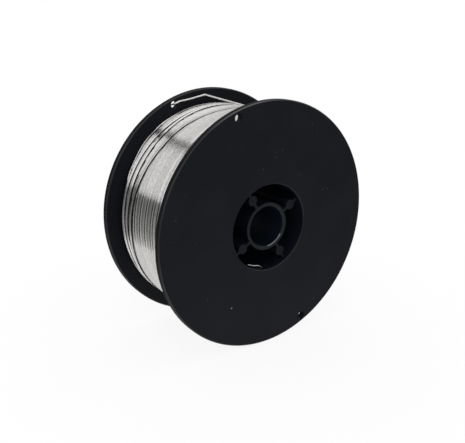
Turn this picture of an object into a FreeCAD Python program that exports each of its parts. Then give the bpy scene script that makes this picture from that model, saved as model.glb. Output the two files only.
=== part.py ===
# A moulded plastic spool in two halves with the welding wire wound on it, in millimetres.
# Each half is drawn in its own frame: the flange's outer face at z = 0, the hub towards +Z, and the ribs
# along X and Y.
# The spool stands on its rims, its axis level: the front flange faces -Y and +Z is up.
import FreeCAD, Part
import math
import os
import Sketcher
from FreeCAD import Placement, Rotation, Vector

FULL_TURN = 360
RIB_COUNT = 4
WIRE_HOLE_COUNT = 2
MATCH = 1e-6
X_AXIS = Vector(1, 0, 0)
Z_AXIS = Vector(0, 0, 1)
ORIGIN_POINT = (-1, 1)
H_AXIS = -1
V_AXIS = -2

doc = FreeCAD.newDocument("wire_spool")

# Driving dimensions, in millimetres and degrees
SIZES = {
    "spool_width": 45,
    "flange_diameter": 100,
    "flange_thickness": 2.8,
    "rim_chamfer": 0.4,
    "pocket_diameter": 35.2,
    "barrel_wall": 2,
    "bore_diameter": 16.5,
    "tube_wall": 1.45,
    "hub_setback": 1.8,
    "mouth_chamfer": 0.3,
    "rib_thickness": 1.2,
    "boss_diameter": 4,
    "peg_diameter": 2,
    "peg_length": 6,
    "peg_clearance": 0.05,
    "lap_length": 2,
    "lap_clearance": 0.1,
    "wire_hole_diameter": 3,
    "wire_hole_chamfer": 0.3,
    "front_hole_inset": 2.9,
    "rear_hole_inset": 2.4,
    "front_hole_turn": 167.8,
    "front_second_hole_turn": -7.8,
    "rear_hole_turn": 169.9,
    "rear_second_hole_turn": -8.7,
    "slot_turn": -27.5,
    "slot_length": 7.8,
    "slot_height": 1.4,
    "wire_diameter": 0.8,
    "winding_inset": 5.8,
    "last_layer_edge": 15,
    "winding_clearance": 0.1,
    "tail_bottom": 0.4,
    "tail_bottom_offset": 0.25,
    "tail_bottom_lag": 0.5,
    "tail_offset": 0.5,
    "tail_rise": 0.6,
    "tail_kink_lead": 17.3,
    "tail_kink_offset": 0.05,
    "tail_kink_rise": 1.4,
    "tail_contact_lead": 39.1,
    "tail_contact_offset": 0.9,
    "tail_contact_rise": 3.6,
    "tail_anchor_lead": 48.6,
    "tail_anchor_rise": 5.8,
    "start_anchor_run": 5.2,
    "start_entry_run": 1.9,
    "start_entry_offset": 0.1,
    "start_bend_run": 4.6,
    "start_bend_depth": 0.75,
    "start_end_run": 9.9,
    "start_end_depth": 0.5,
    "bend_radius": 1.2,
    "stand_turn": 301,
}

sheet = doc.addObject("Spreadsheet::Sheet", "Sizes")
for row, (alias, value) in enumerate(SIZES.items(), start=1):
    sheet.set("A%d" % row, alias)
    sheet.set("B%d" % row, str(value))
    sheet.setAlias("B%d" % row, alias)
doc.recompute()


def size(alias):
    return float(sheet.get(alias))


def evaluate(expression):
    return float(sheet.evalExpression(expression.replace("Sizes.", "")))


# Places that several features share, as expressions of the sheet's sizes
RIM = "Sizes.flange_diameter / 2"
MIDDLE = "Sizes.spool_width / 2"
WALL_INSIDE = "Sizes.pocket_diameter / 2"
WALL_OUTSIDE = WALL_INSIDE + " + Sizes.barrel_wall"
TUBE_OUTSIDE = "Sizes.bore_diameter / 2 + Sizes.tube_wall"
FRONT_HOLES = RIM + " - Sizes.front_hole_inset"
REAR_HOLES = RIM + " - Sizes.rear_hole_inset"
WIRE_HOLE_RADIUS = "Sizes.wire_hole_diameter / 2"
WINDING_OUTSIDE = RIM + " - Sizes.winding_inset"
LOW_WINDING_OUTSIDE = WINDING_OUTSIDE + " - Sizes.wire_diameter"
# The start's slot reaches past the barrel's wall on both sides by half of the wall's thickness
SLOT_INSIDE = WALL_INSIDE + " - Sizes.barrel_wall / 2"
SLOT_OUTSIDE = WALL_OUTSIDE + " + Sizes.barrel_wall / 2"
# The bosses stand midway between the tube and the barrel's wall
BOSSES = "(" + TUBE_OUTSIDE + " + " + WALL_INSIDE + ") / 2"


# How the spool stands: its own axis turned to level, and the rims' lowest points at Z = 0
def standing():
    turned = Rotation(X_AXIS, 90).multiply(Rotation(Z_AXIS, size("stand_turn")))
    return Placement(Vector(0, size("spool_width") / 2, size("flange_diameter") / 2), turned)


# The front half is the mirrored way round: its flange's outer face lies at the far end of the axis
def flipped():
    return Placement(Vector(0, 0, size("spool_width")), Rotation(X_AXIS, 180))


def origin_feature(body, role):
    for feature in body.Origin.OriginFeatures:
        if feature.Role == role:
            return feature
    raise ValueError("no origin feature " + role)


# A sketch on one of the body's own planes, raised by height and turned about the plane's normal
def add_sketch(body, name, role="XY_Plane", height=None, turn=None):
    sketch = body.newObject("Sketcher::SketchObject", name)
    sketch.AttachmentSupport = (origin_feature(body, role), [""])
    sketch.MapMode = "FlatFace"
    if height:
        sketch.setExpression("AttachmentOffset.Base.z", height)
    if turn:
        sketch.AttachmentOffset = Placement(Vector(), Rotation(Z_AXIS, 1))
        sketch.setExpression("AttachmentOffset.Rotation.Angle", turn)
    return sketch


# Ties one point of the sketch to a place along an axis, given as an expression of the sheet's sizes
def tie(sketch, kind, geometry, point, expression):
    value = evaluate(expression)
    if value == 0:
        axis = V_AXIS if kind == "DistanceX" else H_AXIS
        sketch.addConstraint(Sketcher.Constraint("PointOnObject", geometry, point, axis))
        return
    constraint = sketch.addConstraint(Sketcher.Constraint(kind, *ORIGIN_POINT, geometry, point, value))
    sketch.setExpression("Constraints[%d]" % constraint, expression)


# A closed outline of straight lines through corners that are pairs of expressions
def add_outline(sketch, corners):
    places = [Vector(evaluate(across), evaluate(up), 0) for across, up in corners]
    first = len(sketch.Geometry)
    count = len(places)
    for index, place in enumerate(places):
        sketch.addGeometry(Part.LineSegment(place, places[(index + 1) % count]))
    for index in range(count):
        following = first + (index + 1) % count
        sketch.addConstraint(Sketcher.Constraint("Coincident", first + index, 2, following, 1))
    for index, (across, up) in enumerate(corners):
        tie(sketch, "DistanceX", first + index, 1, across)
        tie(sketch, "DistanceY", first + index, 1, up)


# A rectangle that lies evenly on both sides of the sketch's x axis
def add_rectangle(sketch, near, far, width):
    low = "-" + width + " / 2"
    high = width + " / 2"
    add_outline(sketch, [(near, low), (far, low), (far, high), (near, high)])


# A circle with its centre on the sketch's own x axis
def add_circle(sketch, diameter, distance="0"):
    radius = evaluate(diameter) / 2
    circle = sketch.addGeometry(Part.Circle(Vector(evaluate(distance), 0, 0), Z_AXIS, radius))
    constraint = sketch.addConstraint(Sketcher.Constraint("Diameter", circle, 2 * radius))
    sketch.setExpression("Constraints[%d]" % constraint, diameter)
    tie(sketch, "DistanceX", circle, 3, distance)
    tie(sketch, "DistanceY", circle, 3, "0")


def add_revolution(body, name, corners):
    sketch = add_sketch(body, name + "_profile", "XZ_Plane")
    add_outline(sketch, corners)
    revolution = body.newObject("PartDesign::Revolution", name)
    revolution.Profile = sketch
    revolution.ReferenceAxis = (sketch, ["V_Axis"])
    revolution.Angle = FULL_TURN
    return revolution


def add_pad(body, name, sketch, length):
    pad = body.newObject("PartDesign::Pad", name)
    pad.Profile = sketch
    pad.setExpression("Length", length)
    return pad


# Cuts towards -Z, or towards +Z with upwards set, and makes sure that something was cut
def add_pocket(body, name, sketch, length, upwards=False):
    doc.recompute()
    before = body.Shape.Volume
    pocket = body.newObject("PartDesign::Pocket", name)
    pocket.Profile = sketch
    pocket.Reversed = upwards
    pocket.setExpression("Length", length)
    doc.recompute()
    if body.Shape.Volume >= before:
        raise ValueError(name + " cuts nothing")
    return pocket


def add_ring_of(body, feature, name):
    pattern = body.newObject("PartDesign::PolarPattern", name)
    pattern.Originals = [feature]
    pattern.Axis = (origin_feature(body, "Z_Axis"), [""])
    pattern.Angle = FULL_TURN
    pattern.Occurrences = RIB_COUNT
    body.Tip = pattern
    doc.recompute()
    return pattern


# Chamfers the circular edges at the given places, each a pair of radius and height, and makes sure that
# each place has the given count of them
def add_chamfer(body, name, places, width, count=1):
    doc.recompute()
    base = body.Tip
    names = []
    for index, edge in enumerate(base.Shape.Edges, start=1):
        if not isinstance(edge.Curve, Part.Circle):
            continue
        for radius, height in places:
            same_radius = abs(edge.Curve.Radius - evaluate(radius)) < MATCH
            same_height = abs(edge.Curve.Center.z - evaluate(height)) < MATCH
            if same_radius and same_height:
                names.append("Edge%d" % index)
    if len(names) != count * len(places):
        raise ValueError(name + " finds %d edges" % len(names))
    chamfer = body.newObject("PartDesign::Chamfer", name)
    chamfer.Base = (base, names)
    chamfer.setExpression("Size", width)
    doc.recompute()
    return chamfer


# The flange, half of the barrel, half of the bore tube and the ribs with their bosses
def add_half(label):
    body = doc.addObject("PartDesign::Body", label)
    body.Label = label
    add_revolution(body, label + "_shell", [
        (WALL_INSIDE, "0"),
        (RIM, "0"),
        (RIM, "Sizes.flange_thickness"),
        (WALL_OUTSIDE, "Sizes.flange_thickness"),
        (WALL_OUTSIDE, MIDDLE),
        (WALL_INSIDE, MIDDLE),
    ])
    hub_length = MIDDLE + " - Sizes.hub_setback"

    ribs = add_sketch(body, label + "_rib_outline", height="Sizes.hub_setback")
    add_rectangle(ribs, "0", WALL_INSIDE + " + Sizes.barrel_wall / 2", "Sizes.rib_thickness")
    rib = add_pad(body, label + "_rib", ribs, hub_length)
    add_ring_of(body, rib, label + "_ribs")

    tube = add_sketch(body, label + "_tube_outline", height="Sizes.hub_setback")
    add_circle(tube, "2 * (" + TUBE_OUTSIDE + ")")
    add_pad(body, label + "_tube", tube, hub_length)

    bosses = add_sketch(body, label + "_boss_outline", height="Sizes.hub_setback")
    add_circle(bosses, "Sizes.boss_diameter", BOSSES)
    boss = add_pad(body, label + "_boss", bosses, hub_length)
    add_ring_of(body, boss, label + "_bosses")

    bore = add_sketch(body, label + "_bore_outline")
    add_circle(bore, "Sizes.bore_diameter")
    add_pocket(body, label + "_bore", bore, "Sizes.spool_width", upwards=True)
    return body


# A hole through the flange that an end of the wire is hooked into
def add_wire_hole(body, name, distance, turn):
    outline = add_sketch(body, name + "_outline", turn=turn)
    add_circle(outline, "Sizes.wire_hole_diameter", distance)
    return add_pocket(body, name, outline, "Sizes.flange_thickness", upwards=True)


def chamfer_half(body, label):
    rims = [(RIM, "0"), (RIM, "Sizes.flange_thickness")]
    add_chamfer(body, label + "_rim_chamfer", rims, "Sizes.rim_chamfer")
    mouths = [(WALL_INSIDE, "0"), ("Sizes.bore_diameter / 2", "Sizes.hub_setback")]
    add_chamfer(body, label + "_mouth_chamfer", mouths, "Sizes.mouth_chamfer")
    wire_holes = [(WIRE_HOLE_RADIUS, "0")]
    add_chamfer(body, label + "_wire_hole_chamfer", wire_holes, "Sizes.wire_hole_chamfer", WIRE_HOLE_COUNT)


def add_front_half():
    label = "front_spool_half"
    body = add_half(label)
    recess = add_sketch(body, "lap_recess_outline", height=MIDDLE)
    add_circle(recess, "Sizes.pocket_diameter + Sizes.barrel_wall")
    add_circle(recess, "Sizes.pocket_diameter - 2 * Sizes.lap_clearance")
    add_pocket(body, "lap_recess", recess, "Sizes.lap_length + Sizes.lap_clearance")
    sockets = add_sketch(body, "socket_outline", height=MIDDLE)
    add_circle(sockets, "Sizes.peg_diameter + 2 * Sizes.peg_clearance", BOSSES)
    socket = add_pocket(body, "socket", sockets, "Sizes.peg_length + Sizes.peg_clearance")
    add_ring_of(body, socket, "sockets")
    add_wire_hole(body, "front_hole", FRONT_HOLES, "-Sizes.front_hole_turn")
    add_wire_hole(body, "front_second_hole", FRONT_HOLES, "-Sizes.front_second_hole_turn")
    slot = add_sketch(body, "start_slot_outline", height="Sizes.flange_thickness", turn="-Sizes.slot_turn")
    add_rectangle(slot, SLOT_INSIDE, SLOT_OUTSIDE, "Sizes.slot_length")
    add_pocket(body, "start_slot", slot, "Sizes.slot_height", upwards=True)
    chamfer_half(body, label)
    body.Placement = standing().multiply(flipped())
    return body


def add_rear_half():
    label = "rear_spool_half"
    body = add_half(label)
    spigot = add_sketch(body, "lap_spigot_outline", height=MIDDLE)
    add_circle(spigot, "Sizes.pocket_diameter + Sizes.barrel_wall - 2 * Sizes.lap_clearance")
    add_circle(spigot, "Sizes.pocket_diameter")
    add_pad(body, "lap_spigot", spigot, "Sizes.lap_length")
    pegs = add_sketch(body, "peg_outline", height=MIDDLE)
    add_circle(pegs, "Sizes.peg_diameter", BOSSES)
    peg = add_pad(body, "peg", pegs, "Sizes.peg_length")
    add_ring_of(body, peg, "pegs")
    add_wire_hole(body, "rear_hole", REAR_HOLES, "Sizes.rear_hole_turn")
    add_wire_hole(body, "rear_second_hole", REAR_HOLES, "Sizes.rear_second_hole_turn")
    chamfer_half(body, label)
    body.Placement = standing()
    return body


# A point of the spool's own frame from its distance to the axis, its turn and its height
def place(radius, turn, height):
    angle = math.radians(turn)
    return Vector(radius * math.cos(angle), radius * math.sin(angle), height)


# Straight runs through the points, joined by tangent arcs
def route(points):
    edges = []
    start = points[0]
    for before, corner, after in zip(points, points[1:], points[2:]):
        back = (before - corner).normalize()
        ahead = (after - corner).normalize()
        half = back.getAngle(ahead) / 2
        reach = size("bend_radius") / math.tan(half)
        centre = corner + (back + ahead).normalize() * (size("bend_radius") / math.sin(half))
        entry = corner + back * reach
        leave = corner + ahead * reach
        middle = centre + (corner - centre).normalize() * size("bend_radius")
        edges.append(Part.LineSegment(start, entry).toShape())
        edges.append(Part.Arc(entry, middle, leave).toShape())
        start = leave
    edges.append(Part.LineSegment(start, points[-1]).toShape())
    return Part.Wire(edges)


def add_wire_run(name, points):
    direction = (points[1] - points[0]).normalize()
    section = Part.Wire(Part.Circle(points[0], direction, size("wire_diameter") / 2).toShape())
    run = doc.addObject("Part::Feature", name)
    run.Shape = route(points).makePipeShell([section], True, False)
    return run


# From inside the winding over its rear edge to a kink above the flange, and from there into the rear hole
def add_tail():
    hole_radius = evaluate(REAR_HOLES)
    hole_turn = size("rear_hole_turn")
    surface = evaluate(LOW_WINDING_OUTSIDE)
    flange = size("flange_thickness")
    anchor = place(
        surface - size("wire_diameter") / 2,
        hole_turn - size("tail_anchor_lead"),
        flange + size("tail_anchor_rise"),
    )
    contact = place(
        surface + size("tail_contact_offset"),
        hole_turn - size("tail_contact_lead"),
        flange + size("tail_contact_rise"),
    )
    kink = place(
        hole_radius + size("tail_kink_offset"),
        hole_turn - size("tail_kink_lead"),
        flange + size("tail_kink_rise"),
    )
    over_hole = place(hole_radius + size("tail_offset"), hole_turn, flange + size("tail_rise"))
    bottom = place(
        hole_radius - size("tail_bottom_offset"),
        hole_turn + size("tail_bottom_lag"),
        size("tail_bottom"),
    )
    return add_wire_run("tail", [anchor, contact, kink, over_hole, bottom])


# A point at the height of the start's slot, from its distance to the axis and its run along the wall
def beside_slot(radius, run):
    height = size("spool_width") - size("flange_thickness") - size("slot_height") / 2
    return place(radius, size("slot_turn") + math.degrees(run / radius), height)


# From inside the winding through the slot in the barrel's wall, and along the wall in the hub
def add_start():
    wall_outside = evaluate(WALL_OUTSIDE)
    wall_inside = evaluate(WALL_INSIDE)
    anchor = beside_slot(wall_outside + size("wire_diameter"), size("start_anchor_run"))
    entry = beside_slot(wall_outside + size("start_entry_offset"), size("start_entry_run"))
    bend = beside_slot(wall_inside - size("start_bend_depth"), -size("start_bend_run"))
    end = beside_slot(wall_inside - size("start_end_depth"), -size("start_end_run"))
    return add_wire_run("start", [anchor, entry, bend, end])


def add_welding_wire():
    winding = doc.addObject("PartDesign::Body", "winding")
    inside = WALL_OUTSIDE + " + Sizes.winding_clearance"
    rear_end = "Sizes.flange_thickness + Sizes.winding_clearance"
    front_end = "Sizes.spool_width - Sizes.flange_thickness - Sizes.winding_clearance"
    add_revolution(winding, "winding_turned", [
        (inside, rear_end),
        (LOW_WINDING_OUTSIDE, rear_end),
        (LOW_WINDING_OUTSIDE, "Sizes.last_layer_edge"),
        (WINDING_OUTSIDE, "Sizes.last_layer_edge"),
        (WINDING_OUTSIDE, front_end),
        (inside, front_end),
    ])
    wire = doc.addObject("Part::MultiFuse", "welding_wire")
    wire.Label = "welding_wire"
    wire.Shapes = [winding, add_tail(), add_start()]
    wire.Placement = standing()
    return wire


sub_parts = [add_front_half(), add_rear_half(), add_welding_wire()]
doc.recompute()

for item in doc.Objects:
    if "Invalid" in item.State or "Error" in item.State:
        raise ValueError(item.Name + " failed: " + str(item.State))
for sub_part in sub_parts:
    if sub_part.Shape.isNull() or not sub_part.Shape.isValid():
        raise ValueError(sub_part.Label + " has no valid shape")

os.makedirs("parts", exist_ok=True)
for sub_part in sub_parts:
    sub_part.Shape.exportStep(os.path.join("parts", sub_part.Label + ".step"))
    print(sub_part.Label, len(sub_part.Shape.Solids), "solid,", round(sub_part.Shape.Volume), "mm3")
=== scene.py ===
import math

import bpy
import numpy as np
from mathutils import Matrix, Vector


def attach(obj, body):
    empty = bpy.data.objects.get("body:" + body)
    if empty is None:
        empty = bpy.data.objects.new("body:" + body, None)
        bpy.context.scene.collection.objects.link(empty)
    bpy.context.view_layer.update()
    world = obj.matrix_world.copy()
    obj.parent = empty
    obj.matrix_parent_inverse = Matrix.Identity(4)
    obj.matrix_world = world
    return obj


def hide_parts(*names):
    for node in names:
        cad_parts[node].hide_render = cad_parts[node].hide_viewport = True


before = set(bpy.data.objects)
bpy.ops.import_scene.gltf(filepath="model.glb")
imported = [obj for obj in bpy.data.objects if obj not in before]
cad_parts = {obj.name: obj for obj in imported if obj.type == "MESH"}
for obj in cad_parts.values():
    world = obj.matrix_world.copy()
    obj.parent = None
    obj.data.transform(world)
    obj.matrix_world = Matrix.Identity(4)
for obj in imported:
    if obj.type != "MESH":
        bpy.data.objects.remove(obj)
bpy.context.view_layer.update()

# A small spool of welding wire: two black moulded halves, and the steel wire wound between their flanges.
# It stands on its two rims with its axis along Y. Lengths are in metres unless a comment says millimetres.
# A place on the spool is a radius, an angle round the axis in degrees from +X towards +Z, and a height
# above the rear flange's outer face.
MM = 0.001
WIDTH = 0.045
AXIS_HEIGHT = 0.05
RIM_RADIUS = 0.05
FLANGE = 0.0028
HUB_RADIUS = 0.0177
TUBE_RADIUS = 0.0102
BORE_RADIUS = 0.00825

# The wire, and the distance from turn to turn
WIRE_RADIUS = 0.0004
PITCH = 0.00083
# Centres of the wire in the top layer and in the layer below, and the winding's body below both
TOP_LAYER = 0.0438
LOWER_LAYER = 0.0430
CORE_RADIUS = 0.0414
# Heights of the first and the last turn
REAR_TURN = FLANGE + 0.0005
FRONT_TURN = WIDTH - FLANGE - 0.0005
# How deep the end of a strand dives below the top layer, and the degrees that it takes to come up
DIVE = 0.0016
DIVE_ANGLE = 14
STEPS_A_TURN = 120
# A wound wire has only the outer part of its section, to this angle on both sides
OPEN_SECTION = 0.62 * math.pi

WHITE = (1, 1, 1, 1)


def on_spool(radius, angle, height):
    radius, angle, height = np.broadcast_arrays(radius, angle, height)
    turn = np.radians(angle)
    return np.stack(
        [radius * np.cos(turn), WIDTH / 2 - height, AXIS_HEIGHT + radius * np.sin(turn)],
        axis=-1,
    )


# A smooth step from 0 to 1
def blend(value):
    share = np.clip(value, 0, 1)
    return share * share * (3 - 2 * share)


# 1 near the middle, and falling to 0 between half the reach and one and a half times the reach from it
def near(value, middle, reach):
    return blend(1.5 - np.abs(value - middle) / reach)


# A quantity that closes on itself round the axis, from its values at some angles, smoothed over 10 degrees
def round_the_axis(angles, values):
    angles = np.array(angles, float)
    values = np.array(values, float)
    spread = np.linspace(-5, 5, 7)

    def value_at(angle):
        wrapped = (np.asarray(angle, float) - angles[0]) % 360 + angles[0]
        return np.interp(wrapped, np.append(angles, angles[0] + 360), np.append(values, values[0]))

    def smoothed(angle):
        return sum(value_at(np.asarray(angle) + s) for s in spread) / len(spread)

    return smoothed


# The lines that part the loose strands: their heights, and how wide each gap opens, both in millimetres
seam = round_the_axis(
    [
        76, 96, 104, 112, 120, 128, 136, 144, 152, 158, 164, 170, 176, 182, 188, 194, 200, 208, 216, 260,
        320, 400,
    ],
    [
        21.4, 21, 20.2, 18.9, 17.6, 17.3, 16.8, 15.8, 15.1, 14.6, 13.9, 13.6, 13.3, 13, 12.6, 12, 11.6,
        11.2, 11, 12, 16, 20.5,
    ],
)
seam_gap = round_the_axis(
    [84, 92, 98, 106, 110, 115, 120, 128, 150, 164, 176, 188, 202, 216, 290, 310, 420],
    [0.9, 0.8, 0.6, 0.5, 0.35, 0.7, 0.75, 0.5, 0.6, 0.9, 1.1, 0.8, 1, 1.2, 0.8, 0, 0],
)
second_line = round_the_axis(
    [76, 86, 94, 110, 128, 136, 144, 152, 164, 176, 182, 188, 206, 240, 300, 360],
    [12.6, 12.6, 11.7, 11.4, 11.2, 11.2, 11.1, 10.9, 10.5, 10.2, 9.8, 9.8, 9.2, 9, 9.8, 11.2],
)
second_gap = round_the_axis(
    [70, 84, 94, 98, 104, 110, 116, 128, 136, 152, 176, 184, 192, 196],
    [0.5, 1.3, 1.2, 0.9, 1, 0.4, 0.25, 0.35, 0.25, 0.55, 1.1, 0.9, 0.1, 0],
)
third_line = round_the_axis(
    [76, 104, 120, 128, 136, 144, 152, 158, 176, 200, 230, 300, 370],
    [9, 8.9, 8.7, 8.3, 7.8, 7.5, 7.3, 7, 6.9, 6.9, 6.9, 7.4, 8.4],
)
third_gap = round_the_axis(
    [100, 110, 116, 120, 126, 132, 140, 152, 160, 176, 194, 204, 210],
    [0, 0.4, 0.8, 1.1, 1, 0.6, 0.6, 0.5, 0.75, 0.85, 0.7, 0.3, 0],
)
fourth_line = round_the_axis(
    [76, 96, 102, 106, 112, 120, 128, 144, 152, 160, 180, 300],
    [5.8, 5.4, 5.1, 4.6, 4.1, 3.7, 3.7, 3.9, 4.3, 4.8, 4.6, 4.6],
)
fourth_gap = round_the_axis(
    [91, 96, 106, 111, 114, 120, 130, 146, 156, 162],
    [0, 1, 1, 0.3, 0.1, 0.12, 0.2, 0.2, 0.1, 0],
)
LINES = [(seam, seam_gap), (second_line, second_gap), (third_line, third_gap), (fourth_line, fourth_gap)]
# How far the turns beside the rear flange lie below the others, from 0 to 1
sunken_edge = round_the_axis([60, 92, 101, 138, 152, 166, 180, 230, 300], [1, 0.9, 0, 0, 0.3, 0.8, 1, 1, 0.6])
# How far the turn at the rear flange rides up on the others, from 0 to 1
raised_edge = round_the_axis([96, 104, 124, 150], [0, 1, 1, 0])


# How a strand wanders from its even place, by about 1 either way
def wander(angle, height, seed):
    rng = np.random.default_rng(seed)
    total = 0
    for wave in range(1, 7):
        phase, along = rng.uniform(0, 2 * math.pi), rng.uniform(800, 2400)
        total = total + np.sin(np.radians(angle) * wave + height * along + phase) / wave
    return total / 2


# A value for each turn, passing over from turn to turn
def by_turn(angle, spread, seed):
    turns = int(np.max(angle) / 360) + 2
    values = np.random.default_rng(seed).normal(0, spread, turns)
    return np.interp(angle / 360, np.arange(turns), values)


# Materials
def add_node(tree, kind, **inputs):
    node = tree.nodes.new(kind)
    for key, value in inputs.items():
        node.inputs[key.replace("_", " ")].default_value = value
    return node


def attribute(tree, name):
    node = tree.nodes.new("ShaderNodeAttribute")
    node.attribute_name = name
    return node.outputs["Fac"]


# The result of a calculation on numbers or on the outputs of other nodes
def calculated(tree, operation, *values):
    node = tree.nodes.new("ShaderNodeMath")
    node.operation = operation
    for socket, value in zip(node.inputs, values):
        if isinstance(value, (int, float)):
            socket.default_value = value
        else:
            tree.links.new(value, socket)
    return node.outputs["Value"]


def remapped(tree, value, start, end, smooth=False):
    node = tree.nodes.new("ShaderNodeMapRange")
    if smooth:
        node.interpolation_type = "SMOOTHSTEP"
    node.inputs["From Min"].default_value, node.inputs["From Max"].default_value = start[0], end[0]
    node.inputs["To Min"].default_value, node.inputs["To Max"].default_value = start[1], end[1]
    tree.links.new(value, node.inputs["Value"])
    return node.outputs["Result"]


def two_tones(tree, value, *stops):
    ramp = tree.nodes.new("ShaderNodeValToRGB")
    for element, (position, colour) in zip(ramp.color_ramp.elements, stops):
        element.position = position
        element.color = (*colour, 1)
    tree.links.new(value, ramp.inputs["Fac"])
    return ramp.outputs["Color"]


def mixed_shader(tree, share, first, second):
    node = tree.nodes.new("ShaderNodeMixShader")
    tree.links.new(share, node.inputs["Fac"])
    tree.links.new(first, node.inputs[1])
    tree.links.new(second, node.inputs[2])
    return node.outputs["Shader"]


def new_material(name):
    material = bpy.data.materials.new(name)
    material.use_nodes = True
    tree = material.node_tree
    return material, tree, tree.nodes["Principled BSDF"]


# Drawn steel, with small changes of tint and polish along each wire. Its colour is scaled by the tone,
# which holds painted light and shade.
def steel_material():
    material, tree, shader = new_material("steel_wire")
    shader.inputs["Metallic"].default_value = 1
    place = tree.nodes.new("ShaderNodeCombineXYZ")
    tree.links.new(attribute(tree, "run"), place.inputs["X"])
    tree.links.new(attribute(tree, "number"), place.inputs["Y"])
    drawn = add_node(tree, "ShaderNodeTexNoise", Scale=480.0, Detail=5.0, Roughness=0.75)
    tree.links.new(place.outputs["Vector"], drawn.inputs["Vector"])
    noise = drawn.outputs["Fac"]
    tint = two_tones(tree, noise, (0.3, (0.47, 0.463, 0.452)), (0.7, (0.77, 0.762, 0.747)))
    toned = tree.nodes.new("ShaderNodeVectorMath")
    toned.operation = "SCALE"
    tree.links.new(tint, toned.inputs["Vector"])
    tree.links.new(attribute(tree, "tone"), toned.inputs["Scale"])
    tree.links.new(toned.outputs["Vector"], shader.inputs["Base Color"])
    tree.links.new(remapped(tree, noise, (0, 0.08), (1, 0.15)), shader.inputs["Roughness"])
    return material


# A Mix node's sockets for colours share their names with others, so they go by number
MIX_SHARE, MIX_FIRST, MIX_SECOND = 0, 6, 7
MIX_RESULT = 2
DUST_AND_HIGHLIGHT_COLOUR = (0.2, 0.2, 0.21, 1)


# Matte moulded plastic, cloudy in tint, with a fine grain and specks of dust. Each pale spot has a place and
# a strength, and fades out between the two distances in reach. Pale spots: dust grains on the face plastic,
# a painted highlight on the edge plastic.
def plastic_material(name, colour, roughness, specular, pale_spots=(), reach=(0.0001, 0.0005)):
    material, tree, shader = new_material(name)
    shader.inputs["Specular IOR Level"].default_value = specular
    place = tree.nodes.new("ShaderNodeTexCoord").outputs["Object"]
    cloud = add_node(tree, "ShaderNodeTexNoise", Scale=60.0, Detail=4.0)
    tree.links.new(place, cloud.inputs["Vector"])
    darker, paler = [0.85 * c for c in colour], [1.15 * c for c in colour]
    tint = two_tones(tree, cloud.outputs["Fac"], (0.35, darker), (0.65, paler))
    specks = add_node(tree, "ShaderNodeTexVoronoi", Scale=200.0)
    tree.links.new(place, specks.inputs["Vector"])
    dust_and_highlight = remapped(tree, specks.outputs["Distance"], (0.02, 0.1), (0.07, 0))
    # Pale spots: dust grains on the face plastic, a painted highlight on the edge plastic
    for spot, strength in pale_spots:
        away = tree.nodes.new("ShaderNodeVectorMath")
        away.operation = "DISTANCE"
        away.inputs[1].default_value = spot
        tree.links.new(place, away.inputs[0])
        fading = remapped(tree, away.outputs["Value"], (reach[0], strength), (reach[1], 0))
        dust_and_highlight = calculated(tree, "MAXIMUM", dust_and_highlight, fading)
    dust_and_highlight_mix = tree.nodes.new("ShaderNodeMix")
    dust_and_highlight_mix.data_type = "RGBA"
    tree.links.new(dust_and_highlight, dust_and_highlight_mix.inputs[MIX_SHARE])
    tree.links.new(tint, dust_and_highlight_mix.inputs[MIX_FIRST])
    dust_and_highlight_mix.inputs[MIX_SECOND].default_value = DUST_AND_HIGHLIGHT_COLOUR
    tree.links.new(dust_and_highlight_mix.outputs[MIX_RESULT], shader.inputs["Base Color"])
    polish = remapped(tree, cloud.outputs["Fac"], (0, roughness - 0.05), (1, roughness + 0.05))
    tree.links.new(polish, shader.inputs["Roughness"])
    grain = add_node(tree, "ShaderNodeTexNoise", Scale=2600.0, Detail=2.0)
    tree.links.new(place, grain.inputs["Vector"])
    bump = add_node(tree, "ShaderNodeBump", Strength=0.12, Distance=0.0001)
    tree.links.new(grain.outputs["Fac"], bump.inputs["Height"])
    tree.links.new(bump.outputs["Normal"], shader.inputs["Normal"])
    return material


# Grains of dust on the front flange's face: millimetres along X and Z, and strength
DUST = [
    (-18.4, 20.2, 1.0), (-3.6, 74.1, 0.14), (27.5, 61.1, 0.13), (14.6, 69.4, 0.12), (-42.7, 61.3, 0.12),
    (30.3, 61.0, 0.11), (5.5, 80.6, 0.11), (25.2, 12.9, 0.1), (20.5, 88.7, 0.1), (-29.6, 26.7, 0.1),
    (2.4, 77.9, 0.08), (2.4, 79.9, 0.07), (23.3, 85.6, 0.07),
]
# The angle of the front rim's painted highlight, how pale it is, and the distances over which that fades
RIM_HIGHLIGHT_ANGLE = 104
RIM_HIGHLIGHT_STRENGTH = 0.3
RIM_HIGHLIGHT_REACH = (0.006, 0.018)
# The part of the tube's edge that gets a painted highlight, between these angles
LIP_ANGLES = (-85, -33)

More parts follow.
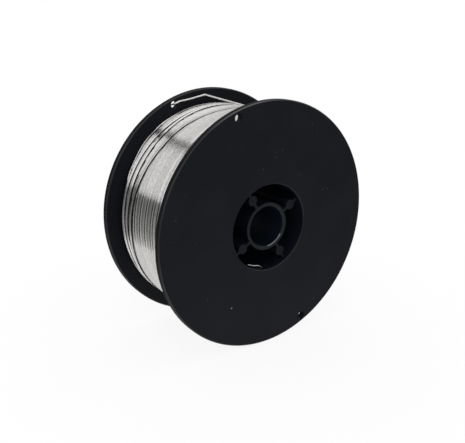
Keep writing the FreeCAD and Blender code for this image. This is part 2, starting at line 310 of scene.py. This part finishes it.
to_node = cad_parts["front_spool_half"].matrix_world.inverted()
dust_spots = [(to_node @ Vector((x * MM, -WIDTH / 2, z * MM)), strength) for x, z, strength in DUST]
rim_highlight_spots = [(to_node @ Vector(on_spool(RIM_RADIUS, RIM_HIGHLIGHT_ANGLE, WIDTH).tolist()), RIM_HIGHLIGHT_STRENGTH)]
PLASTICS = {
    "face": plastic_material("black_plastic", (0.0051, 0.0058, 0.0088), 0.5, 0.13, dust_spots),
    # The broken edges of the rims: a paler, glossier copy of the plastic, a painted highlight
    "edge": plastic_material("black_plastic_edge_highlight", (0.014, 0.0147, 0.017), 0.35, 0.35, rim_highlight_spots, RIM_HIGHLIGHT_REACH),
    # The rim's outer wall: a darker, duller copy of the plastic, a painted shade
    "rim": plastic_material("black_plastic_rim_shade", (0.0045, 0.005, 0.0075), 0.6, 0.05),
    # The walls of the hub's pocket and of the wire holes: a bluer copy of the plastic, painted light in the
    # pocket and painted shade in the holes
    "hub": plastic_material("black_plastic_hub_and_hole_shading", (0.0044, 0.0063, 0.0112), 0.5, 0.06),
    # The broken edges of the hub's mouth and bore: a paler, glossier copy of the plastic, a painted highlight
    "mouth": plastic_material("black_plastic_mouth_highlight", (0.012, 0.0135, 0.0155), 0.4, 0.22),
    # The tube's end face: a paler copy of the plastic, painted light
    "tube_end": plastic_material("black_plastic_tube_end_lit", (0.0095, 0.0122, 0.0137), 0.5, 0.13),
    # A stretch of the tube's inner edge: a pale, glossy copy of the plastic, a painted highlight
    "lip": plastic_material("black_plastic_lip_highlight", (0.11, 0.115, 0.125), 0.3, 0.9),
    # The bore's wall: a paler, bluer copy of the plastic, painted light in the bore
    "bore": plastic_material("black_plastic_bore_lit", (0.0042, 0.0072, 0.0135), 0.5, 0.06),
}
PLASTIC_NUMBERS = {key: number for number, key in enumerate(PLASTICS)}

# Radii between which the wire holes lie, and beyond which there is only the rim
WIRE_HOLES = (0.0442, 0.0489)
RIM_START = 0.049
# Radii of the bore's wall and of its broken edge, and of the broken edge of the hub's mouth, with some room
BORE_WALL = 0.0086
BORE_EDGE = 0.0088
MOUTH_EDGE = 0.0185
# How much a wall, a broken edge and a flat face look along the axis, from 0 to 1
WALL_BELOW = 0.5
EDGE_FROM, EDGE_TO = 0.6, 0.8


# Which of the plastics a face of a half shows, from where it lies and how much it faces along the axis
def plastic_of(centre, along_axis):
    radius = math.hypot(centre.x, centre.z - AXIS_HEIGHT)
    wall = along_axis < WALL_BELOW
    broken_edge = EDGE_FROM < along_axis < EDGE_TO
    # The walls of the wire holes take the hub's plastic, as painted shade
    if WIRE_HOLES[0] < radius < WIRE_HOLES[1] and along_axis < EDGE_TO:
        return "hub"
    if broken_edge and radius > MOUTH_EDGE:
        return "edge"
    if broken_edge:
        angle = math.degrees(math.atan2(centre.z - AXIS_HEIGHT, centre.x))
        # A stretch of the bore's edge gets the painted highlight
        painted_highlight = radius < BORE_EDGE and centre.y < 0 and LIP_ANGLES[0] < angle < LIP_ANGLES[1]
        return "lip" if painted_highlight else "mouth"
    if wall and radius > RIM_START:
        return "rim"
    if wall and radius < HUB_RADIUS:
        return "hub" if radius > BORE_WALL else "bore"
    if BORE_RADIUS < radius < TUBE_RADIUS:
        return "tube_end"
    return "face"


for half_name in ("front_spool_half", "rear_spool_half"):
    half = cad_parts[half_name]
    half.data.materials.clear()
    for plastic in PLASTICS.values():
        half.data.materials.append(plastic)
    turned = half.matrix_world.to_3x3()
    numbers = [
        PLASTIC_NUMBERS[plastic_of(half.matrix_world @ face.center, abs((turned @ face.normal).y))]
        for face in half.data.polygons
    ]
    half.data.polygons.foreach_set("material_index", numbers)
    half.data.polygons.foreach_set("use_smooth", [True] * len(numbers))


# The painted shade on the flank of a strand beside an open gap: where it starts on the section and over which
# angle it comes in, from the outermost line towards the front flange, and how dark it is
FLANK_START = 0.12 * math.pi
FLANK_FADE = 0.18 * math.pi
FLANK_DARKNESS = 0.9


# A tube's mesh round its centres, with the directions outwards and sideways at each of them. A closed one
# has its whole section. The tone makes the steel paler or darker along the wire, at random and as painted
# light and shade, and flank says how much of the painted shade on the flank there is, from 0 to 1.
def tube_data(centres, outwards, sideways, sides, closed, tone, flank=None):
    if closed:
        around = np.linspace(0, 2 * math.pi, sides, endpoint=False)
    else:
        around = np.linspace(-OPEN_SECTION, OPEN_SECTION, sides)
    ring = (
        outwards[:, None, :] * np.cos(around)[None, :, None]
        + sideways[:, None, :] * np.sin(around)[None, :, None]
    )
    vertices = (centres[:, None, :] + WIRE_RADIUS * ring).reshape(-1, 3)
    count = len(centres)
    spans = sides if closed else sides - 1
    ring_number, side = np.meshgrid(np.arange(count - 1), np.arange(spans), indexing="ij")
    here, there = ring_number * sides, (ring_number + 1) * sides
    next_side = (side + 1) % sides
    corners = [here + side, here + next_side, there + next_side, there + side]
    faces = np.stack(corners, axis=-1).reshape(-1, 4)
    steps = np.linalg.norm(np.diff(centres, axis=0), axis=1)
    run = np.concatenate([[0], np.cumsum(steps)])
    tones = np.broadcast_to(np.asarray(tone, float), (count,))[:, None] * np.ones((1, sides))
    if flank is not None:
        turned_away = blend((around - FLANK_START) / FLANK_FADE)
        tones = tones * (1 - FLANK_DARKNESS * flank[:, None] * turned_away[None, :])
    return vertices, faces, np.repeat(run, sides), tones.reshape(-1)


def wound_tube(radius, angle, height, sides, tone, flank=None):
    turn = np.radians(angle)
    outwards = np.stack([np.cos(turn), np.zeros_like(turn), np.sin(turn)], axis=-1)
    sideways = np.tile([0.0, -1.0, 0.0], (len(turn), 1))
    return tube_data(on_spool(radius, angle, height), outwards, sideways, sides, False, tone, flank)


def free_tube(centres, tone=1.0):
    ahead = np.gradient(centres, axis=0)
    ahead /= np.linalg.norm(ahead, axis=1)[:, None]
    outwards = np.cross(ahead, [0.0, 1.0, 0.0])
    outwards /= np.linalg.norm(outwards, axis=1)[:, None]
    return tube_data(centres, outwards, np.cross(outwards, ahead), 12, True, tone)


steel = steel_material()


# A piece of the wire from its tubes. Its mesh keeps the run along each wire, the wire's number and its tone.
def wire_piece(name, tubes):
    starts = np.cumsum([0] + [len(vertices) for vertices, _, _, _ in tubes])
    vertices = np.concatenate([vertices for vertices, _, _, _ in tubes])
    faces = np.concatenate([faces + start for start, (_, faces, _, _) in zip(starts, tubes)])
    mesh = bpy.data.meshes.new(name)
    mesh.from_pydata(vertices.tolist(), [], faces.tolist())
    values = {
        "run": np.concatenate([run for _, _, run, _ in tubes]),
        "number": np.concatenate([np.full(len(run), float(i)) for i, (_, _, run, _) in enumerate(tubes)]),
        "tone": np.concatenate([tone for _, _, _, tone in tubes]),
    }
    for key, numbers in values.items():
        mesh.attributes.new(key, "FLOAT", "POINT").data.foreach_set("value", numbers)
    mesh.materials.append(steel)
    mesh.polygons.foreach_set("use_smooth", [True] * len(mesh.polygons))
    piece = bpy.data.objects.new(name, mesh)
    bpy.context.scene.collection.objects.link(piece)
    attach(piece, "root")
    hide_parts("welding_wire")


# The tone of the turns holds painted light and shade: painted reflections make stripes between two angles, a
# painted highlight makes one patch near the top the brightest, and painted shade darkens the steel in the gaps
# and at a strand's covered stretches.
STRIPE_PITCH = 0.00205
STRIPE_HEIGHT = 0.0166
STRIPE_ANGLES, STRIPE_FADE = (157, 190), 8
FAINT_STRIPES, CLEAR_STRIPES = 0.07, 0.7
GLINT_ANGLE, GLINT_ANGLE_REACH = 100, 9
GLINT_HEIGHT, GLINT_HEIGHT_REACH = 0.0178, 0.0016
GLINT_STRENGTH = 0.3
GAP_DARKNESS = 0.88
COVERED_DARKNESS = 0.85


# Painted reflection: paler and darker stripes across the turns
def stripes(angle, height):
    row = angle % 360
    clear = blend((row - STRIPE_ANGLES[0]) / STRIPE_FADE) * blend((STRIPE_ANGLES[1] - row) / STRIPE_FADE)
    strength = FAINT_STRIPES + CLEAR_STRIPES * clear
    return 1 + strength * np.cos(2 * math.pi * (height - STRIPE_HEIGHT) / STRIPE_PITCH)


# Painted highlight: a patch of paler steel near the top
def glint(angle, height):
    in_angle = near(angle % 360, GLINT_ANGLE, GLINT_ANGLE_REACH)
    return 1 + GLINT_STRENGTH * in_angle * near(height, GLINT_HEIGHT, GLINT_HEIGHT_REACH)


# How open a gap is, from 0 to 1: it is fully open from 0.3 mm
def opened(gap, angle):
    return blend(gap(angle) / 0.3)


# How much painted shade the turns below the lines get, from 0 to 1
def in_gap(angle, height):
    dark = 0
    for line, gap in LINES:
        reach = (gap(angle) / 2 + 0.5) * MM
        dark = np.maximum(dark, opened(gap, angle) * near(height, line(angle) * MM, reach))
    return dark


# How far a turn wanders in and out, and a strand in every direction
TURN_WANDER = 0.00004
STRAND_WANDER = 0.00005
# How much the tones differ from turn to turn, and from strand to strand
TURN_TONES = 0.12
STRAND_TONES = 0.2
# The turns dip below the loose strands from this height above the seam, over this distance
DIP_START = 0.0007
DIP_LENGTH = 0.0008
# The turns beside the rear flange lie lower from this height, over the same distance as they sink
EDGE_HEIGHT = 0.0048
EDGE_DEPTH = 0.0012


# The neat turns, from the front flange to the rear one
def neat_turns():
    turns = int((FRONT_TURN - REAR_TURN) / PITCH)
    angle = np.linspace(0, 360 * turns, STEPS_A_TURN * turns + 1)
    height = FRONT_TURN - PITCH * angle / 360
    behind = blend((seam(angle) * MM + DIP_START - height) / DIP_LENGTH)
    sunken = blend((EDGE_HEIGHT - height) / EDGE_DEPTH) * sunken_edge(angle)
    diving = 1 - blend(angle / DIVE_ANGLE)
    depth = (TOP_LAYER - LOWER_LAYER) * behind + EDGE_DEPTH * sunken + DIVE * diving
    radius = TOP_LAYER - depth + TURN_WANDER * wander(angle, height, 3)
    height = height + STRAND_WANDER * wander(angle, height, 4)
    # The tone: random from turn to turn, with painted reflection stripes, a painted highlight, and painted
    # shade in the gaps and on the sunken turns beside the rear flange
    tone = (1 + by_turn(angle, TURN_TONES, 5)) * stripes(angle, height) * glint(angle, height)
    tone = tone * (1 - GAP_DARKNESS * in_gap(angle, height)) * (1 - COVERED_DARKNESS * sunken)
    return wound_tube(radius, angle, height, 7, tone)


# The angle at which the first strand lies exactly behind its line
LINE_ANGLE = 148
# The distance over which a strand dives below the next line's
DIVE_LENGTH = 0.0005
# The height below which the turn at the rear flange rides up, and the distance over which it does
RAISED_HEIGHT = 0.0036
RAISED_LENGTH = 0.0006
# Where the first strand gives way to the second, and over how many degrees
FIRST_END, FIRST_FADE = 400, 80
# Between these angles the first strand is painted dark as shade, and it changes over some degrees at both
SHADED_STRETCH_FROM, SHADED_STRETCH_IN = 196, 12
SHADED_STRETCH_TO, SHADED_STRETCH_OUT = 300, 20
SHADED_STRETCH_DARKNESS = 0.93
# The stretch near the top that can get a painted highlight
LIT_ANGLE, LIT_REACH = 112, 15


# Strands laid side by side behind a line, which dive where their height falls to the floor's. The first one
# has a painted highlight beside an open gap, and a painted shade on its flank there. raised lifts the turn at
# the rear flange, dark_side is how dark that painted flank is, lit is a painted highlight on the stretch near
# the top, and pale is the strands' tone, a painted brightness.
def strands_behind(line, gap, count, floor, seed, raised=0.0, shine=0.3, dark_side=1.0, lit=0.0, pale=1.2):
    angle = np.linspace(0, 360 * count, STEPS_A_TURN * count + 1)
    row = angle % 360
    behind_line = (line(angle) - gap(angle) / 2) * MM - WIRE_RADIUS
    height = behind_line - PITCH * (angle - LINE_ANGLE) / 360
    under = blend((floor(angle) * MM - height) / DIVE_LENGTH + 0.5)
    between_ends = blend(angle / DIVE_ANGLE) * blend((angle[-1] - angle) / DIVE_ANGLE)
    lift = raised * blend((RAISED_HEIGHT - height) / RAISED_LENGTH) * raised_edge(angle)
    depth = DIVE * np.maximum(under, 1 - between_ends)
    radius = TOP_LAYER + lift - depth + STRAND_WANDER * wander(angle, height, seed)
    height = np.maximum(height, REAR_TURN) + STRAND_WANDER * wander(angle, height, seed + 1)
    beside_gap = blend((FIRST_END - angle) / FIRST_FADE) * opened(gap, angle)
    coming_in = blend((row - SHADED_STRETCH_FROM) / SHADED_STRETCH_IN)
    shaded_stretch = coming_in * blend((SHADED_STRETCH_TO - row) / SHADED_STRETCH_OUT)
    # The tone: painted highlights on the paler strands and beside a gap, painted shade where strands dive
    tone = (pale + by_turn(angle, STRAND_TONES, seed + 2)) * (1 + shine * beside_gap)
    tone = tone * (1 + lit * near(row, LIT_ANGLE, LIT_REACH)) * (1 - COVERED_DARKNESS * under)
    # Painted shade on the first strand between those angles
    tone = tone * (1 - SHADED_STRETCH_DARKNESS * beside_gap * shaded_stretch)
    return wound_tube(radius, angle, height, 9, tone, dark_side * beside_gap)


# Floors on which strands dive, in millimetres: just above the next line, and beside the rear flange
def above(line, gap):
    return lambda angle: line(angle) + gap(angle) / 2 + 0.35


def at_flange(angle):
    return 3.1 + 1.9 * sunken_edge(angle)


above_second, above_third, above_fourth = [above(line, gap) for line, gap in LINES[1:]]
wire_piece(
    "winding",
    [
        neat_turns(),
        strands_behind(seam, seam_gap, 9, above_second, seed=11, shine=0.4, pale=1.0),
        strands_behind(second_line, second_gap, 4, above_third, seed=21, lit=0.15),
        strands_behind(third_line, third_gap, 6, above_fourth, seed=31, shine=0.5, dark_side=0.5),
        strands_behind(fourth_line, fourth_gap, 2, at_flange, seed=41, raised=0.0005, shine=0.6),
    ],
)


# The winding's body below the turns, which shows only as a dark ground between them: its dark tone is painted
# shade
CORE_OVERHANG = 0.0003
CORE_TONE = 0.15


def core_data():
    angle = np.arange(0, 360, 360 / STEPS_A_TURN)
    ends = (REAR_TURN - CORE_OVERHANG, FRONT_TURN + CORE_OVERHANG)
    vertices = np.concatenate([on_spool(CORE_RADIUS, angle, height) for height in ends])
    index = np.arange(len(angle))
    following = np.roll(index, -1)
    faces = np.stack([index, following, len(angle) + following, len(angle) + index], axis=-1)
    return vertices, faces, np.zeros(len(vertices)), np.full(len(vertices), CORE_TONE)


wire_piece("winding_core", [core_data()])


# Points along straight runs between corners, with each corner rounded to a radius by some spans
def rounded_run(corners, radius, step=0.0004, spans=8):
    corners = [Vector(c) for c in corners]
    points = [corners[0]]
    for before, corner, after in zip(corners, corners[1:], corners[2:]):
        back = (before - corner).normalized()
        ahead = (after - corner).normalized()
        half = back.angle(ahead) / 2
        reach = radius / math.tan(half)
        centre = corner + (back + ahead).normalized() * (radius / math.sin(half))
        entry, leave = corner + back * reach, corner + ahead * reach
        for share in np.linspace(0, 1, spans + 1):
            direction = (entry - centre).lerp(leave - centre, share).normalized()
            points.append(centre + direction * radius)
    points.append(corners[-1])
    dense = []
    for a, b in zip(points, points[1:]):
        parts = max(1, int((b - a).length / step))
        dense += [a.lerp(b, k / parts) for k in range(parts)]
    dense.append(points[-1])
    return np.array([list(p) for p in dense])


# The wire's end: it comes up between the strands, leaves the winding for a kink beside the rear flange, and
# runs on with a slight bow to the flange's hole, where it turns in
TAIL_ANGLES = (-80, 70)
TAIL_HEIGHTS = (0.0135, 0.0078)
TAIL_RISE, TAIL_RISE_ANGLE = 0.00145, 25
TAIL_BEND = 0.0009
tail_angle = np.linspace(*TAIL_ANGLES, 60)
tail_radius = LOWER_LAYER + TAIL_RISE * blend((tail_angle - TAIL_ANGLES[0]) / TAIL_RISE_ANGLE)
tail_height = np.interp(tail_angle, TAIL_ANGLES, TAIL_HEIGHTS)
tail_corners = [
    on_spool(0.04445, 74.0, 0.0071),
    on_spool(0.04765, 93.6, 0.0042),
    on_spool(0.04737, 102.2, 0.0038),
    on_spool(0.04809, 108, 0.00354),
    on_spool(0.0481, 110.9, 0.0034),
    on_spool(0.04735, 111.4, 0.0004),
]
tail_on_winding = on_spool(tail_radius, tail_angle, tail_height)
tail_path = np.concatenate([tail_on_winding, rounded_run(tail_corners, TAIL_BEND)])
# The tail's paler tone is a painted highlight
wire_piece("tail", [free_tube(tail_path, tone=1.3)])

# The wire's start, through the slot in the barrel's wall and along the pocket's wall
START_HEIGHT = 0.0415
START_BEND = 0.0012
start_places = [(0.0204, 288.1), (0.0190, 272.5), (0.01692, 260.8), (0.01700, 250.5), (0.0171, 241.3)]
start_corners = [on_spool(radius, angle, START_HEIGHT) for radius, angle in start_places]
wire_piece("start", [free_tube(rounded_run(start_corners, START_BEND))])


# The floor: seen by the camera it is white, with some of the object's shadow left near it
FLOOR_HALF = 4.0
floor_mesh = bpy.data.meshes.new("floor")
floor_corners = [(FLOOR_HALF * x, FLOOR_HALF * y, 0) for x, y in ((-1, -1), (1, -1), (1, 1), (-1, 1))]
floor_mesh.from_pydata(floor_corners, [], [(0, 1, 2, 3)])
floor = bpy.data.objects.new("floor", floor_mesh)
bpy.context.scene.collection.objects.link(floor)
floor_material, tree, shader = new_material("floor")
shader.inputs["Base Color"].default_value = (0.97, 0.97, 0.97, 1)
shader.inputs["Roughness"].default_value = 0.9
shader.inputs["Specular IOR Level"].default_value = 0
white = add_node(tree, "ShaderNodeEmission", Strength=1.0, Color=WHITE)
from_middle = tree.nodes.new("ShaderNodeVectorMath")
from_middle.operation = "LENGTH"
tree.links.new(tree.nodes.new("ShaderNodeTexCoord").outputs["Object"], from_middle.inputs[0])
whiteness = remapped(tree, from_middle.outputs["Value"], (0.05, 0.88), (0.17, 1), smooth=True)
seen = tree.nodes.new("ShaderNodeLightPath").outputs["Is Camera Ray"]
white_share = calculated(tree, "MULTIPLY", seen, whiteness)
surface = mixed_shader(tree, white_share, shader.outputs["BSDF"], white.outputs["Emission"])
tree.links.new(surface, tree.nodes["Material Output"].inputs["Surface"])
floor_mesh.materials.append(floor_material)
floor.visible_glossy = False

# The studio: even light on matte surfaces, white seen by the camera, and in reflections bright panels with
# dark gaps between them, as angles round the Y axis from -X towards +Z
DARK = 0.19
PANELS = [
    (-180, DARK), (-147, DARK), (-144, 0.95), (-33, 0.95), (-30.5, 0.3), (-12, 0.26), (0, DARK), (11, DARK),
    (12, 1.0), (62.3, 1.0), (62.8, 0.03), (69.2, 0.03), (69.7, 1.0), (108, 1.0), (132, 0.8), (144, 0.75),
    (169.5, 1.0), (170.5, DARK), (180, DARK),
]
world = bpy.data.worlds.new("studio")
bpy.context.scene.world = world
world.use_nodes = True
tree = world.node_tree
tree.nodes.clear()
output = tree.nodes.new("ShaderNodeOutputWorld")
ray = tree.nodes.new("ShaderNodeLightPath")
direction = tree.nodes.new("ShaderNodeSeparateXYZ")
tree.links.new(tree.nodes.new("ShaderNodeTexCoord").outputs["Generated"], direction.inputs["Vector"])
leftwards = calculated(tree, "MULTIPLY", direction.outputs["X"], -1.0)
angle_up = calculated(tree, "ARCTAN2", direction.outputs["Z"], leftwards)
full_turn_share = calculated(tree, "ADD", calculated(tree, "MULTIPLY", angle_up, 0.5 / math.pi), 0.5)
panels = tree.nodes.new("ShaderNodeValToRGB")
elements = panels.color_ramp.elements
elements.remove(elements[-1])
for number, (degrees, value) in enumerate(PANELS):
    position = (degrees + 180) / 360
    element = elements[0] if number == 0 else elements.new(position)
    element.position = position
    element.color = (value, value, value, 1)
tree.links.new(full_turn_share, panels.inputs["Fac"])
matte_light = add_node(tree, "ShaderNodeBackground", Strength=0.95, Color=WHITE)
reflected = add_node(tree, "ShaderNodeBackground", Strength=1.0)
tree.links.new(panels.outputs["Color"], reflected.inputs["Color"])
backdrop = add_node(tree, "ShaderNodeBackground", Strength=1.0, Color=WHITE)
lighting = mixed_shader(
    tree, ray.outputs["Is Glossy Ray"], matte_light.outputs["Background"], reflected.outputs["Background"]
)
studio = mixed_shader(tree, ray.outputs["Is Camera Ray"], lighting, backdrop.outputs["Background"])
tree.links.new(studio, output.inputs["Surface"])

# A soft lamp from the upper left
LAMP_PLACE = Vector((-0.5, -0.4, 0.9))
lamp_data = bpy.data.lights.new("key", "AREA")
lamp_data.shape = "DISK"
lamp_data.size = 0.6
lamp_data.energy = 0.6
lamp = bpy.data.objects.new("key", lamp_data)
lamp.location = LAMP_PLACE
lamp.rotation_euler = (Vector((0, 0, AXIS_HEIGHT)) - LAMP_PLACE).to_track_quat("-Z", "Y").to_euler()
lamp.visible_glossy = False
lamp.visible_camera = False
bpy.context.scene.collection.objects.link(lamp)

# The camera, from the upper left of the front flange
CAMERA_PLACE = (-0.15336, -0.21139, 0.13489)
RIGHT = Vector((0.8131, -0.5822, 0.0010))
DOWN = Vector((-0.18615, -0.2616, -0.9471))
AHEAD = Vector((0.55163, 0.7698, -0.32098))
camera_data = bpy.data.cameras.new("camera")
camera_data.sensor_width = 36
camera_data.lens = 50.63
camera_data.clip_start = 0.01
camera = bpy.data.objects.new("camera", camera_data)
rotation = Matrix((RIGHT, -DOWN, -AHEAD)).transposed()
camera.matrix_world = Matrix.Translation(CAMERA_PLACE) @ rotation.to_4x4()
bpy.context.scene.collection.objects.link(camera)
bpy.context.scene.camera = camera
bpy.context.scene.view_settings.view_transform = "Standard"
